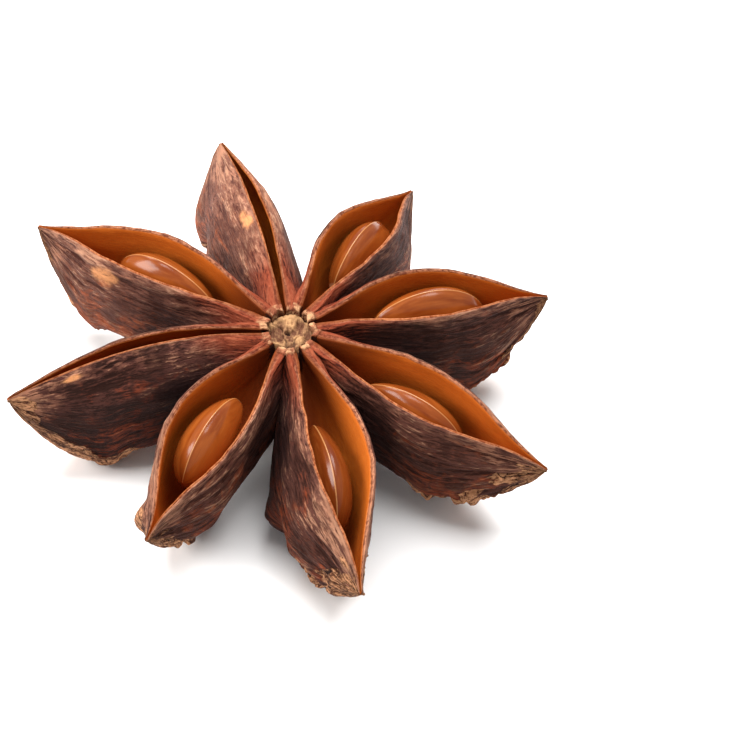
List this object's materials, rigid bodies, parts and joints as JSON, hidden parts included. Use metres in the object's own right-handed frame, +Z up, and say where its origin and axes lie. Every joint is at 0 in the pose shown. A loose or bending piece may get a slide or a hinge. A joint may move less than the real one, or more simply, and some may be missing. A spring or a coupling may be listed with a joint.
{
  "type": "star anise",
  "caption": "A dried star-shaped fruit: woody boat-shaped pods spread from a short column, each split along its top seam over a glossy seed",
  "frame": {"origin": "on the surface that the star lies on, under the middle of its outline", "axes": "+Z up, along the column; seen from above, azimuth 0 is +X and pods are counted clockwise from the upper left one"},
  "size_m": [0.036, 0.0391, 0.0108],
  "materials": {
    "husk": "dry, finely wrinkled reddish-brown rind with tan lips, satin orange-brown inside",
    "seed": "glossy caramel-brown seed coat with a paler ridge"
  },
  "bodies": {
    "root": {"husk": "husk", "seed_1": "seed", "seed_2": "seed", "seed_3": "seed", "seed_4": "seed", "seed_5": "seed", "seed_6": "seed", "seed_7": "seed", "seed_8": "seed"}
  },
  "joints": []
}
